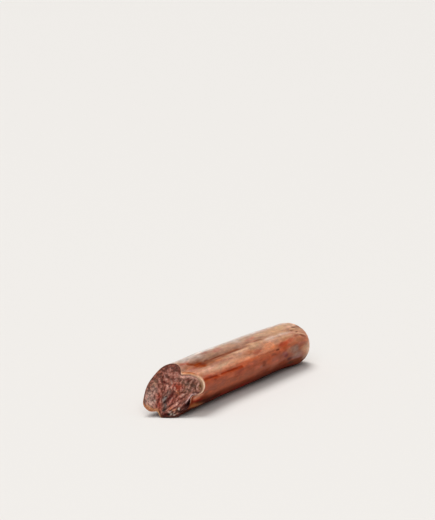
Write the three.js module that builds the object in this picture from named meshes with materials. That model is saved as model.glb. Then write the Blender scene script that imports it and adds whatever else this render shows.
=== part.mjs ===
// A piece of cured pork loin in its natural casing: a round bar of meat, cut across at one end and
// closed by a rounded, puckered end at the other. Millimetres, +Z up, +X from the cut to the closed
// end. The origin is the middle of the footprint, on the surface that the loin lies on.
//
// The whole skin is one surface: the radius around the bar's own line is given for every station
// along it and every angle around it. The cut is a slanted plane with the meat's relief on it.

import * as THREE from 'three';
import { mergeVertices } from 'three/addons/utils/BufferGeometryUtils.js';

// ---- driving dimensions ------------------------------------------------------------------------
const RADIUS = 26.2;              // of the bar
const LENGTH = 285.5;             // from the middle of the cut to the closed tip
const DOME_LENGTH = 44.0;         // of the rounded end
const DOME_ALONG = 3.2;           // how square its shoulder is, along the bar
const DOME_ROUND = 2.5;           // and across it
const TIP_DROP = 4.5;             // the closed end sags a little
const TIP_SIDE = 0.7;
const CUT_SLANT_SIDE = 0.52;      // the cut leans back towards the right ...
const CUT_SLANT_UP = 0.60;        // ... and towards the top
const CUT_SHIFT = 3.7;            // the bar bends towards the right near the cut
const CUT_SHIFT_REACH = 85.0;
const SINK = 0.5;                 // pressed flat where it lies
const LIP_DEPTH = 0.9;            // the meat stands back inside the casing's cut edge

const AROUND = 84;                // columns around the bar
const FACE_RINGS = 11;            // from the middle of the cut to its rim
const SIDE_RINGS = 34;            // along the bar
const DOME_RINGS = 10;            // round the closed end

// Swells and hollows that start at the cut and fade along the bar:
// angle (0 = right, 90 = top), height, width above, width below, reach along the bar
const CUT_FORMS = {
  backLobe: [122, 1.7, 18, 18, 60],
  shoulder: [8, 2.8, 20, 18, 40],
  hollow: [-16, -6.8, 8, 20, 20],
  pinch: [-54, -1.5, 8, 8, 15],
  bottomRoll: [-78, 0.8, 14, 14, 15],
  vNotch: [-115, -4.3, 10, 10, 25],
  leftLobe: [-150, 1.7, 14, 14, 25],
};

// Broad uneven places further along: angle, height, width around, station, width along
const SWELLS = {
  backWaist: [120, -0.9, 60, 235, 30],
  frontWaist: [-45, -1.0, 40, 215, 32],
  heel: [-45, 1.2, 45, 262, 20],
  flank: [5, 0.4, 30, 150, 35],
  backSwell: [110, 0.4, 35, 90, 40],
};

// ---- small helpers -----------------------------------------------------------------------------
const rad = (degrees) => (degrees * Math.PI) / 180;
const wrap = (degrees) => ((((degrees + 180) % 360) + 360) % 360) - 180;
const clamp01 = (x) => Math.min(1, Math.max(0, x));
const smooth = (x, low, high) => {
  const t = clamp01((x - low) / (high - low));
  return t * t * (3 - 2 * t);
};
const bump = (x, width) => Math.exp(-((x / width) ** 2));
const lopsided = (x, above, below) => bump(x, x > 0 ? above : below);

// ---- the bar -----------------------------------------------------------------------------------
const shiftAt = (s) => CUT_SHIFT * (1 - smooth(s, -5, CUT_SHIFT_REACH));

// how far along the bar a plain round section meets the cut
const plainRim = (angle) =>
  CUT_SLANT_SIDE * (CUT_SHIFT + RADIUS * Math.cos(rad(angle))) +
  CUT_SLANT_UP * RADIUS * Math.sin(rad(angle));

function cutForms(s, angle) {
  const gone = Math.max(s - plainRim(angle), 0);
  let out = 0;
  for (const [at, height, above, below, reach] of Object.values(CUT_FORMS)) {
    out += height * lopsided(wrap(angle - at), above, below) * Math.exp(-gone / reach);
  }
  // the valley behind the shoulder swings down a little as it leaves the cut
  const line = 67 + 11 * Math.exp(-Math.max(s - 15, 0) / 25);
  out -= 7.6 * lopsided(wrap(angle - line), 14, 30) * Math.exp(-gone / 30);
  return out;
}

// the crease at the foot of the back lobe, from the notch in the rim to the middle of the bar
function crease(s, angle) {
  const line = 64 + 28 * Math.exp(-Math.max(s - 25, 0) / 20);
  const run = smooth(s, 18, 34) * (1 - smooth(s, 95, 160));
  return 2.3 * run * lopsided(wrap(angle - line), 8, 9);
}

// a shallow fold along the front of the shoulder
function frontFold(s, angle) {
  const line = 16.5 + 9 * Math.exp(-Math.max(s - 22, 0) / 14);
  const run = smooth(s, 20, 45) * (1 - smooth(s, 95, 135));
  return 0.9 * run * lopsided(wrap(angle - line), 6, 3.5);
}

const middleRidge = (s, angle) =>
  0.9 * bump(wrap(angle - 48), 12) * smooth(s, 20, 70) * (1 - smooth(s, 200, 250));

function swells(s, angle) {
  let out = 0;
  for (const [at, height, around, station, along] of Object.values(SWELLS)) {
    out += height * bump(wrap(angle - at), around) * bump(s - station, along);
  }
  return out;
}

// drawn-in folds of the casing on the upper side of the closed end
function puckers(s, angle) {
  const long = 1.1 * bump(wrap(angle - 63.5), 5) * smooth(s, 243, 250) * (1 - smooth(s, 262, 268));
  const swing = 52 - 30 * smooth(s, 238, 262);
  const curved = 0.9 * bump(wrap(angle - swing), 5) * smooth(s, 234, 240) * (1 - smooth(s, 260, 268));
  return long + curved;
}

function radiusAt(s, angle, domeFactor) {
  const r =
    RADIUS +
    cutForms(s, angle) +
    middleRidge(s, angle) +
    swells(s, angle) -
    crease(s, angle) -
    frontFold(s, angle) -
    puckers(s, angle);
  return r * domeFactor;
}

// one point of the bar: s along, side to the right, up
function barPoint(s, angle, domeFactor = 1) {
  const r = radiusAt(s, angle, domeFactor);
  const t = clamp01((s - (LENGTH - 1.3 * DOME_LENGTH)) / (1.3 * DOME_LENGTH));
  return {
    s,
    side: shiftAt(s) - TIP_SIDE * t * t + r * Math.cos(rad(angle)),
    up: RADIUS - TIP_DROP * t * t + r * Math.sin(rad(angle)),
  };
}

const cutPlane = (side, up) => CUT_SLANT_SIDE * side + CUT_SLANT_UP * (up - RADIUS);

// the station where the bar's real outline meets the cut, found by stepping towards it
function rimStation(angle) {
  let s = 0;
  for (let i = 0; i < 40; i += 1) {
    const p = barPoint(s, angle);
    s = 0.6 * s + 0.4 * cutPlane(p.side, p.up);
  }
  return s;
}

// ---- the cut face ------------------------------------------------------------------------------
// relief of the meat in mm, out of the cut, for a place on the face
function meatRelief(side, up) {
  const x = side - CUT_SHIFT;
  const y = up - RADIUS;
  let h = 0;
  h += 0.5 * Math.sin(x / 5.1 + 0.6) * Math.sin(y / 4.3 + 1.1);                // uneven meat
  h -= 1.5 * bump(Math.hypot((x + 7.5) / 3.2, (y + 9) / 7), 1);                // the pit
  h -= 0.7 * bump(x + 10.5, 2.2) * bump(y + 12, 9);                            // the split beside it
  const r = Math.hypot(side, y);
  const angle = (Math.atan2(y, side) * 180) / Math.PI;
  const low = smooth(angle, -108, -92) * (1 - smooth(angle, -14, -6));
  h += 1.2 * low * bump(r - 21.8, 1.6);                                        // a fatty edge
  h -= 1.1 * low * smooth(angle, -95, -85) * bump(r - 24.3, 1.5);              // a groove outside it
  h -= 4.0 * bump(wrap(angle + 23), 13) * smooth(r, 21.8, 24.5);               // the dark hollow
  return h;
}

// how wide the casing's cut edge shows, in mm, around the rim
const lipWidth = (angle) => 0.9 + 1.7 * bump(wrap(angle - 50), 34) + 1.1 * bump(wrap(angle - 5), 18);

// ---- the whole skin, from the middle of the cut to the closed tip ------------------------------
const AT_X = -133.03;             // slides the bar so that its footprint is centred, see below
const AT_Y = 2.797;

function facePoint(ring, angle) {
  const rim = barPoint(rimStation(angle), angle);
  const reach = Math.hypot(rim.side - CUT_SHIFT, rim.up - RADIUS);
  const lip = lipWidth(angle) / reach;
  // the two outer rings are the casing's edge, the others the meat inside it
  const inner = FACE_RINGS - 2;
  const q = ring >= inner ? 1 - (lip * (FACE_RINGS - ring)) / 2.2 : (1 - 1.25 * lip) * (ring / (inner - 1));
  const side = CUT_SHIFT + q * (rim.side - CUT_SHIFT);
  const up = RADIUS + q * (rim.up - RADIUS);
  const h = ring >= inner ? 0 : meatRelief(side, up) - LIP_DEPTH * smooth(q, 0.2, 0.8);
  const n = 1 / Math.hypot(1, CUT_SLANT_SIDE, CUT_SLANT_UP);
  return {
    s: cutPlane(side, up) - h * n,
    side: side + h * n * CUT_SLANT_SIDE,
    up: up + h * n * CUT_SLANT_UP,
  };
}

function skinPoint(ring, angle) {
  if (ring < FACE_RINGS) return facePoint(ring, angle);
  const start = LENGTH - DOME_LENGTH;
  const along = ring - FACE_RINGS;
  if (along <= SIDE_RINGS) {
    const rim = rimStation(angle);
    return barPoint(rim + (start - rim) * (along / SIDE_RINGS) ** 1.45, angle);
  }
  const q = ((along - SIDE_RINGS) / DOME_RINGS) * (Math.PI / 2);
  const t = Math.sin(q) ** (2 / DOME_ALONG);
  return barPoint(start + DOME_LENGTH * t, angle, Math.max(Math.cos(q), 0) ** (2 / DOME_ROUND));
}

// a sphere's grid carries the surface: its first pole is the middle of the cut, its last the tip
function skinGeometry() {
  const rings = FACE_RINGS + SIDE_RINGS + DOME_RINGS;
  const geometry = new THREE.SphereGeometry(1, AROUND, rings);
  const place = geometry.attributes.position;
  const columns = AROUND + 1;
  for (let i = 0; i < place.count; i += 1) {
    const ring = Math.floor(i / columns);
    const column = (i % columns) % AROUND;
    const p = skinPoint(ring, (360 * column) / AROUND);
    const up = Math.max(p.up - SINK, 0);
    place.setXYZ(i, p.s + AT_X, -p.side + AT_Y, up);
  }
  geometry.deleteAttribute('normal');
  geometry.deleteAttribute('uv');
  const closed = mergeVertices(geometry, 1e-4);
  closed.computeVertexNormals();
  return closed;
}

const casing = new THREE.MeshStandardMaterial({
  name: 'natural casing over cured meat',
  color: 0xa8694d,
  roughness: 0.45,
  metalness: 0.0,
});

const loin = new THREE.Mesh(skinGeometry(), casing);
loin.name = 'cured_loin';

const part = new THREE.Group();
part.name = 'cured_loin_piece';
part.add(loin);

export default part;
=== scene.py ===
# %% [markdown]
# # A cured pork loin, cut across
#
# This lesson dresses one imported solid: half of a dry-cured pork loin in its natural casing. The real
# thing is lean meat, salted, put in a length of gut and hung until it is firm. The gut dries to a
# thin reddish brown skin with folds, and the cut shows the meat, its fat and its sinews. The frame
# comes first, because every piece has to sit exactly where the solid is.

# %% Load the frame
import itertools
import math

import bpy
import numpy as np
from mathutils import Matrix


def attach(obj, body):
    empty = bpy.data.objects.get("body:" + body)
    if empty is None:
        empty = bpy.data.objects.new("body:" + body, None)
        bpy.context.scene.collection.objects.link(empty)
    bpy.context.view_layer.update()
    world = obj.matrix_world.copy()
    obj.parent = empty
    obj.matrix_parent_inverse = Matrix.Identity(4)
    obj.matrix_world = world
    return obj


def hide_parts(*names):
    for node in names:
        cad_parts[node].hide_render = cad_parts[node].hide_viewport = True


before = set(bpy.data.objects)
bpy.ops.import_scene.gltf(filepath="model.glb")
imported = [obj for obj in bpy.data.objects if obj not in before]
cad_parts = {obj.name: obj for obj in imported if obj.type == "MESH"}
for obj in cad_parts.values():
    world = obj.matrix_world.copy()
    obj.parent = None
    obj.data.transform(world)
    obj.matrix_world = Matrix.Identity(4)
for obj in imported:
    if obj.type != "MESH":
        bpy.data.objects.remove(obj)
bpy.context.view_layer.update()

# %% [markdown]
# ## Numbers and small helpers
#
# All is measured in millimetres along the loin's own line: `s` runs from the middle of the cut to
# the closed end, and `a` is the angle around it, 0 on the right, 90 on top, seen from the cut. They
# keep every fold and stain in its place on the skin. The same values drive the solid.

# %% Driving sizes of the loin
RADIUS = 26.2
LENGTH = 285.5
DOME_LENGTH = 44.0
DOME_ALONG = 3.2
DOME_ROUND = 2.5
TIP_DROP = 4.5
TIP_SIDE = 0.7
CUT_SLANT_SIDE = 0.52
CUT_SLANT_UP = 0.60
CUT_SHIFT = 3.7
CUT_SHIFT_REACH = 85.0
SINK = 0.5
LIP_DEPTH = 0.9
AT_X = -133.03
AT_Y = 2.797
print("loin", RADIUS * 2, "mm across,", LENGTH, "mm from the middle of the cut to the tip")

# %% Small curve helpers


def wrap(degrees):
    """The same angle, brought between -180 and 180 degrees."""
    return (degrees + 180) % 360 - 180


def smooth(x, low, high):
    """0 below low, 1 above high, and an S curve, 3t^2 - 2t^3, between them."""
    t = np.clip((x - low) / (high - low), 0, 1)
    return t * t * (3 - 2 * t)


def bump(x, width):
    """A bell: e to the minus (x / width) squared."""
    return np.exp(-((x / width) ** 2))


def lopsided(x, above, below):
    """A bell with one width above its middle and another below."""
    return np.exp(-(np.where(x > 0, x / above, x / below) ** 2))


def between(x, begin, full, fade, end):
    """1 from full to fade and 0 before begin and past end, with S curves in between."""
    return smooth(x, begin, full) * (1 - smooth(x, fade, end))


def soft_noise(points, size, seed):
    """Smooth noise from -1 to 1: each point mixes the eight random numbers round it, which sit on a
    lattice with cells of the given size in mm along each axis. Large primes scatter the cells."""
    q = points / np.asarray(size, float)
    cell = np.floor(q).astype(np.int64)
    f = q - cell
    f = f * f * (3 - 2 * f)
    table = np.random.default_rng(seed).uniform(-1, 1, 4096)
    total = 0
    for dx, dy, dz in itertools.product((0, 1), repeat=3):
        key = (cell[..., 0] + dx) * 73856093
        key = key ^ ((cell[..., 1] + dy) * 19349663)
        key = key ^ ((cell[..., 2] + dz) * 83492791)
        wx = f[..., 0] if dx else 1 - f[..., 0]
        wy = f[..., 1] if dy else 1 - f[..., 1]
        wz = f[..., 2] if dz else 1 - f[..., 2]
        total = total + table[key % len(table)] * wx * wy * wz
    return total


def near_path(x, y, path):
    """Distance from each place to a line through the path's points, and how far along it, from 0 to
    1, the nearest point lies."""
    best = np.full(np.shape(x), 1e9)
    along = np.zeros(np.shape(x))
    count = len(path) - 1
    for i in range(count):
        (x0, y0), (x1, y1) = path[i], path[i + 1]
        dx, dy = x1 - x0, y1 - y0
        t = np.clip(((x - x0) * dx + (y - y0) * dy) / (dx * dx + dy * dy), 0, 1)
        d = np.hypot(x - x0 - t * dx, y - y0 - t * dy)
        closer = d < best
        best = np.where(closer, d, best)
        along = np.where(closer, (i + t) / count, along)
    return best, along


print("smooth(0.5) =", float(smooth(0.5, 0, 1)), " bump(1, 1) =", round(float(bump(1, 1)), 3))

# %% Colours


def linear(hex_colour):
    """An sRGB hex colour as linear red, green and blue: each channel c becomes c / 12.92 up to
    0.04045, and ((c + 0.055) / 1.055) to the power 2.4 above that."""
    c = np.array([int(hex_colour[i:i + 2], 16) for i in (1, 3, 5)]) / 255
    return np.where(c <= 0.04045, c / 12.92, ((c + 0.055) / 1.055) ** 2.4)


def stain(colour, weight, hex_colour):
    """Mix a colour into an array of colours, by a weight from 0 to 1 at each place."""
    w = np.clip(weight, 0, 1)[..., None]
    return colour * (1 - w) + linear(hex_colour) * w


def ring_mix(a, rows, column):
    """A colour for each angle, mixed between the rows of a table with the angle in front."""
    stops = [row[0] for row in rows]
    tones = np.array([linear(row[column]) for row in rows])
    return np.stack([np.interp(a, stops, tones[:, k]) for k in range(3)], axis=-1)


print("mid grey is", linear("#808080").round(3))

# %% [markdown]
# ## The form of the bar
#
# The outline is close to a round bar, drawn in while it dried. Next to the cut there is a raised
# lobe at the back, a deep valley, a shoulder on the right, a hollow under it and a notch below on
# the left. Each is a bell in angle that fades along the bar, and the radius is their sum. One formula
# was chosen rather than sculpting, so that stains and wrinkles follow the folds by the same numbers.

# %% Swells and hollows of the bar
# angle, height, width above, width below, reach along the bar
CUT_FORMS = {
    "back lobe": (122, 1.7, 18, 18, 60),
    "shoulder": (8, 2.8, 20, 18, 40),
    "hollow": (-16, -6.8, 8, 20, 20),
    "pinch": (-54, -1.5, 8, 8, 15),
    "bottom roll": (-78, 0.8, 14, 14, 15),
    "v notch": (-115, -4.3, 10, 10, 25),
    "left lobe": (-150, 1.7, 14, 14, 25),
}
# angle, height, width around, station, width along
SWELLS = {
    "back waist": (120, -0.9, 60, 235, 30),
    "front waist": (-45, -1, 40, 215, 32),
    "heel": (-45, 1.2, 45, 262, 20),
    "flank": (5, 0.4, 30, 150, 35),
    "back swell": (110, 0.4, 35, 90, 40),
}


def shift_at(s):
    """How far the bar's middle bends to the right: all of it at the cut, none past its reach."""
    return CUT_SHIFT * (1 - smooth(s, -5, CUT_SHIFT_REACH))


def plain_rim(a):
    """Where a plain round bar meets the slanted cut: the slants times its side and its height."""
    side = CUT_SHIFT + RADIUS * np.cos(np.radians(a))
    return CUT_SLANT_SIDE * side + CUT_SLANT_UP * RADIUS * np.sin(np.radians(a))


def cut_forms(s, a):
    """The bells near the cut, each times e to the minus distance over reach, less the valley, whose
    middle swings from 78 to 67 degrees."""
    gone = np.maximum(s - plain_rim(a), 0)
    out = 0
    for at, height, above, below, reach in CUT_FORMS.values():
        out = out + height * lopsided(wrap(a - at), above, below) * np.exp(-gone / reach)
    line = 67 + 11 * np.exp(-np.maximum(s - 15, 0) / 25)
    return out - 7.6 * lopsided(wrap(a - line), 14, 30) * np.exp(-gone / 30)


print(len(CUT_FORMS), "forms at the cut,", len(SWELLS), "swells along the bar")

# %% Folds of the casing
STRAIGHT_FOLD = 63.5  # its angle, at the closed end


def crease_line(s):
    """Angle of the crease at the foot of the back lobe: 64, and 28 more at the cut, dying away."""
    return 64 + 28 * np.exp(-np.maximum(s - 25, 0) / 20)


def fold_line(s):
    """Angle of the shallow fold along the front of the shoulder."""
    return 16.5 + 9 * np.exp(-np.maximum(s - 22, 0) / 14)


def swing_line(s):
    """Angle of the curved fold of the closed end, which swings down by 30 degrees."""
    return 52 - 30 * smooth(s, 238, 262)


def crease(s, a):
    """Depth of the crease: a lopsided bell across it, that rises and fades along the bar."""
    return 2.3 * between(s, 18, 34, 95, 160) * lopsided(wrap(a - crease_line(s)), 8, 9)


def front_fold(s, a):
    """Depth of the fold on the shoulder's front."""
    return 0.9 * between(s, 20, 45, 95, 135) * lopsided(wrap(a - fold_line(s)), 6, 3.5)


def middle_ridge(s, a):
    """The low rounded ridge between the two folds."""
    return 0.9 * bump(wrap(a - 48), 12) * between(s, 20, 70, 200, 250)


def swells(s, a):
    """Broad uneven places: a bell around times a bell along, each."""
    out = 0
    for at, height, around, station, along in SWELLS.values():
        out = out + height * bump(wrap(a - at), around) * bump(s - station, along)
    return out


def puckers(s, a):
    """Two drawn-in folds on the upper side of the closed end, one straight and one that swings."""
    straight = 1.1 * bump(wrap(a - STRAIGHT_FOLD), 5) * between(s, 243, 250, 262, 268)
    return straight + 0.9 * bump(wrap(a - swing_line(s)), 5) * between(s, 234, 240, 260, 268)


def bar_point(s, a, dome=1, lift=0):
    """A place on the bar as (s, side, up): the middle line, plus the radius times cos and sin."""
    r = RADIUS + cut_forms(s, a) + middle_ridge(s, a) + swells(s, a)
    r = (r - crease(s, a) - front_fold(s, a) - puckers(s, a)) * dome + lift
    t = np.clip((s - (LENGTH - 1.3 * DOME_LENGTH)) / (1.3 * DOME_LENGTH), 0, 1)
    side = shift_at(s) - TIP_SIDE * t * t + r * np.cos(np.radians(a))
    up = RADIUS - TIP_DROP * t * t + r * np.sin(np.radians(a))
    return s + 0 * r, side, up


def cut_plane(side, up):
    """Station of the slanted cut for a place in the section."""
    return CUT_SLANT_SIDE * side + CUT_SLANT_UP * (up - RADIUS)


def rim_station(a):
    """Where the outline meets the cut, found by stepping 40 times towards it."""
    s = np.zeros_like(a)
    for _ in range(40):
        _, side, up = bar_point(s, a)
        s = 0.6 * s + 0.4 * cut_plane(side, up)
    return s


def to_frame(s, side, up):
    """From the bar's millimetres to the frame's metres, pressed flat where the loin lies."""
    z = np.maximum(up - SINK, 0)
    return np.stack([s + AT_X, -side + AT_Y, z], axis=-1) / 1000


rim_sample = rim_station(np.linspace(-180, 180, 90))
print("rim runs from s =", rim_sample.min().round(1), "to", rim_sample.max().round(1))

# %% Turn grids into closed meshes


def ring_faces(first, second, count):
    """Quads between two rings of count vertices, which start at these numbers."""
    i = np.arange(count)
    j = (i + 1) % count
    return np.stack([first + i, first + j, second + j, second + i], axis=-1)


def cap_faces(ring, middle, count, outward):
    """Triangles from a ring to one middle vertex, wound one way or the other."""
    i = np.arange(count)
    j = (i + 1) % count
    fan = np.stack([ring + i, ring + j, np.full(count, middle)], axis=-1)
    return fan if outward else fan[:, ::-1]


def build_piece(name, rows, start, end, inward):
    """A closed mesh from rings of points, with one point to close each end. The volume's sign, that
    of the sum of a . (b x c) over its triangles, says whether to turn every face round."""
    rings, count, _ = rows.shape
    vertices = np.concatenate([rows.reshape(-1, 3), [start], [end]])
    quads = np.concatenate([ring_faces(k * count, (k + 1) * count, count) for k in range(rings - 1)])
    first = cap_faces(0, rings * count, count, False)
    last = cap_faces((rings - 1) * count, rings * count + 1, count, True)
    triangles = np.concatenate([first, last])
    halves = np.concatenate([triangles, quads[:, [0, 1, 2]], quads[:, [0, 2, 3]]])
    p, q, r = (vertices[halves[:, k]] for k in range(3))
    if np.sum(p * np.cross(q, r)) < 0:
        quads, triangles = quads[:, ::-1], triangles[:, ::-1]
    mesh = bpy.data.meshes.new(name)
    mesh.from_pydata(vertices.tolist(), [], quads.tolist() + triangles.tolist())
    mesh.polygons.foreach_set("use_smooth", np.ones(len(mesh.polygons), bool))
    mesh.update()
    piece = bpy.data.objects.new(name, mesh)
    bpy.context.scene.collection.objects.link(piece)
    return piece


def paint(piece, name, colours):
    """Store one linear colour for each vertex, under a name that a material can read."""
    layer = piece.data.color_attributes.new(name, "FLOAT_COLOR", "POINT")
    rgba = np.concatenate([colours, np.ones((len(colours), 1))], axis=1)
    layer.data.foreach_set("color", rgba.astype(np.float32).ravel())


print("mesh helpers are ready")

# %% [markdown]
# ## The casing
#
# A real skin has a thickness, so the casing is a closed shell: the outside, the cut edge that shows
# as a lip round the meat, and an inner wall that ends behind it. The edge is thick and curled along
# the valley and on the right, and thin elsewhere. Folds wider than a millimetre are in the mesh.

# %% The casing's relief
COLUMNS = 300
SIDE_ROWS = 216
DOME_ROWS = 46
angles = np.arange(COLUMNS) * 360 / COLUMNS
rim = rim_station(angles)


def skin_place(s, a):
    """The place on a plain round bar where noise is read, in mm, so that it fits round the skin."""
    s, turn = np.broadcast_arrays(s, np.radians(a))
    return np.stack([s, RADIUS * np.cos(turn), RADIUS * np.sin(turn)], axis=-1)


def off_line(a, line):
    """Distance round the skin, in mm, from a line at an angle."""
    return np.radians(wrap(a - line)) * RADIUS


def casing_relief(s, a):
    """Millimetres to add to the radius: slack lumps, lengthwise wrinkles 2 to 4 mm apart and fine
    drawn lines, all from noise that is stretched along the bar."""
    p = skin_place(s, a)
    lumps = 0.3 * soft_noise(p, (34, 15, 15), 3) + 0.14 * soft_noise(p, (13, 7, 7), 4)
    wrinkles = 0.11 * soft_noise(p, (26, 2.6, 2.6), 5) + 0.05 * soft_noise(p, (9, 1.5, 1.5), 6)
    foot = bump(wrap(a - crease_line(s)), 15) * between(s, 15, 40, 110, 170)
    gathers = 0.22 * foot * soft_noise(p, (30, 1.5, 1.5), 7)
    end = smooth(s, LENGTH - 60, LENGTH - 20) * bump(wrap(a - 50), 60)
    drawn = 0.3 * end * soft_noise(p, (7, 3.2, 3.2), 8)
    return lumps + wrinkles + gathers + drawn


def thin_creases(s, a):
    """Millimetres to take off along narrow lines: the pinched middles of the folds."""
    back_line = 66.5 - 0.17 * (s - 132)
    out = 0.55 * bump(off_line(a, crease_line(s) - 2), 0.9) * between(s, 40, 60, 100, 122)
    out = out + 0.45 * bump(off_line(a, fold_line(s)), 0.8) * between(s, 24, 40, 105, 122)
    out = out + 0.45 * bump(off_line(a, back_line), 0.8) * between(s, 126, 138, 160, 174)
    out = out + 0.9 * bump(off_line(a, STRAIGHT_FOLD), 0.9) * between(s, 245, 250, 261, 266)
    return out + 0.6 * bump(off_line(a, swing_line(s)), 0.9) * between(s, 235, 239, 258, 264)


# %% The outer skin, ring by ring
# Rows lie closer near the cut, where the relief fades in. Towards the tip it fades with the dome.
CROWDING = 1.18
FADE_SHARE = 0.03


def skin_rows(s, dome, fade):
    """Rings of the outer skin in the frame, with their relief and creases times a fade."""
    lift = (casing_relief(s, angles) - thin_creases(s, angles)) * fade
    return to_frame(*bar_point(s, angles, dome, lift))


start_of_dome = LENGTH - DOME_LENGTH
share = np.linspace(0, 1, SIDE_ROWS + 1)[:, None] ** CROWDING
side_s = rim + (start_of_dome - rim) * share
side_xyz = skin_rows(side_s, 1, smooth(share, 0, FADE_SHARE))
turn = (np.arange(1, DOME_ROWS) / DOME_ROWS)[:, None] * math.pi / 2
dome_s = start_of_dome + DOME_LENGTH * np.sin(turn) ** (2 / DOME_ALONG) + 0 * angles
dome_factor = np.cos(turn) ** (2 / DOME_ROUND)
dome_xyz = skin_rows(dome_s, dome_factor, dome_factor)
tip_xyz = to_frame(*(np.asarray(v)[0] for v in bar_point(np.array([LENGTH]), np.array([0]), 0)))
print("outer skin:", side_s.shape[0] + dome_s.shape[0], "rings of", COLUMNS)

# %% The lip: the casing's cut edge, and the wall inside it


def thick_edge(a):
    """1 where the casing's edge is thick, from the valley round to the right, and 0 elsewhere."""
    return between(a, -16, 0, 78, 86)


def lip_width(a):
    """Width of the cut edge in mm: 0.45, and 2.4 to 2.8 more where it is thick, with a little at the
    lower left and in the notch."""
    low = 0.9 * bump(wrap(a + 138), 22) + 0.6 * bump(wrap(a + 108), 8)
    return 0.45 + thick_edge(a) * (2.4 + 0.4 * bump(wrap(a - 42), 20)) + low


def lip_rise(a):
    """How far the edge curls out of the cut, in mm."""
    return 0.15 + 0.85 * bump(wrap(a - 58), 26) + 0.45 * bump(wrap(a - 5), 16)


_, rim_side, rim_up = bar_point(rim, angles)
rim_reach = np.hypot(rim_side - CUT_SHIFT, rim_up - RADIUS)
NORMAL = 1 / math.sqrt(1 + CUT_SLANT_SIDE ** 2 + CUT_SLANT_UP ** 2)


def on_cut(q):
    """Side and height of a place on the cut, q of the way from its middle to the rim."""
    return CUT_SHIFT + q * (rim_side - CUT_SHIFT), RADIUS + q * (rim_up - RADIUS)


def on_face(q, rise):
    """A place on the slanted cut, raised out of it by a few mm."""
    side, up = on_cut(q)
    out = rise * NORMAL
    return to_frame(cut_plane(side, up) - out, side + out * CUT_SLANT_SIDE, up + out * CUT_SLANT_UP)


def behind_face(q, depth):
    """A place inside the bar: straight back along it from the cut by a depth, and drawn in by a tenth
    of that, so that it never comes through the skin."""
    side, up = on_cut(q * (1 - 0.1 * depth / rim_reach))
    return to_frame(cut_plane(side, up) + depth, side, up)


signed = wrap(angles)
lip = lip_width(signed) / rim_reach
edge_wave = 0.25 * np.sin(np.radians(angles * 7 + 40)) + 0.15 * np.sin(np.radians(angles * 17))
# shares of the lip's width, from its outer to its inner side, and where its arch ends
LIP_PARTS = (0.05, 0.13, 0.21, 0.29, 0.37, 0.45, 0.54, 0.63, 0.73, 0.83, 0.92, 1)
ARCH_END = 0.68
lip_rows = []
for part in LIP_PARTS:
    arch = math.sin(math.pi * min(part / ARCH_END, 1)) ** 0.7
    lip_rows.append(on_face(1 - lip * part, lip_rise(signed) * (1 + edge_wave) * arch))
# depths behind the cut; the wall stands a hair inside the lip, and the meat reaches a hair under it
WALL_DEPTHS = (0.6, 1.4, 2.4, 4, 7)
wall_q = 1 - 1.02 * lip
wall_rows = [behind_face(wall_q, depth) for depth in WALL_DEPTHS]
floor_rows = [behind_face(wall_q * q, WALL_DEPTHS[-1]) for q in (0.7, 0.35)]
inner_middle = behind_face(0 * lip, WALL_DEPTHS[-1])[0]
casing_rows = np.stack(floor_rows[::-1] + wall_rows[::-1] + lip_rows[::-1])
casing_rows = np.concatenate([casing_rows, side_xyz, dome_xyz])
casing = build_piece("loin_casing", casing_rows, inner_middle, tip_xyz, True)
print("casing:", len(casing.data.vertices), "vertices,", len(casing.data.polygons), "faces")

# %% [markdown]
# ### Stains on the casing
#
# Fat under a dried casing shows tan and golden, lean shows red and brown, and spice and mould leave
# orange and grey-purple patches. The folds are painted darker, their own colour with painted shade in
# them, the underside is darkened with painted shade, and the ridge, the top edge and the curled cut
# edge carry painted highlights. Each patch is a soft spot at a station and an angle, painted on the
# vertices. Fine speckle is left to the material.

# %% Colours of the skin
SKIN_TONES = {
    "painted_shade": "#3A0C02", "umber": "#702002", "garnet": "#7E1204", "cocoa": "#7C3E20", "bark": "#7C3C28",
    "ember": "#8C3600", "loam": "#8E5234", "ochre": "#985A2A", "cinder": "#A63608", "rust": "#B04A20",
    "brick": "#A04630", "clay": "#B65C42", "terra": "#B06C4C", "ginger": "#C2825A", "coral": "#CE6640",
    "flame": "#C05030", "orange": "#DC8254", "apricot": "#EA9A72", "salmon": "#D88C70", "dawn": "#C2866E",
    "blush": "#DEA890", "shell": "#E6B498", "cream": "#ECBC9A", "rose": "#A46858", "tan": "#AE8468",
    "sand": "#C8A080", "gold": "#CE9E7A", "straw": "#DAB088", "bone": "#DCBAA8", "stone": "#AA9488",
    "ash": "#C4B2A8", "fog": "#96705F", "mauve": "#885A5C", "grape": "#70343C", "plum": "#482A30",
    "moss": "#4A3420", "peach": "#E8BC9C", "painted_sheen": "#E8DED6",
}
# base colour round the bar: angle, colour. The dark stops from -135 to -28 degrees are painted shade
# on the underside, the light stops from 29 to 45 degrees are partly a painted highlight along the
# ridge, and the pale stops at 98 and 106 degrees are a painted sheen on the top edge.
SKIN_ROUND = (
    (-180, "#9A6A50"), (-160, "#8A4E36"), (-135, "#6C301A"), (-110, "#5A200E"), (-75, "#641E0A"),
    (-55, "#6E1E06"), (-42, "#6E2006"), (-34, "#68260A"), (-28, "#722C14"), (-22, "#924424"),
    (-16, "#9E5032"), (0, "#A04B2C"), (12, "#AE5030"), (20, "#C06A46"), (29, "#D89474"), (36, "#D69C7C"),
    (45, "#C89074"), (53, "#B98A6C"), (61, "#A4725A"), (75, "#B0866F"), (88, "#B8937F"), (98, "#CAB6AA"),
    (106, "#D4C6BC"), (122, "#BFA190"), (145, "#AA8068"), (180, "#9A6A50"),
)
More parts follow.
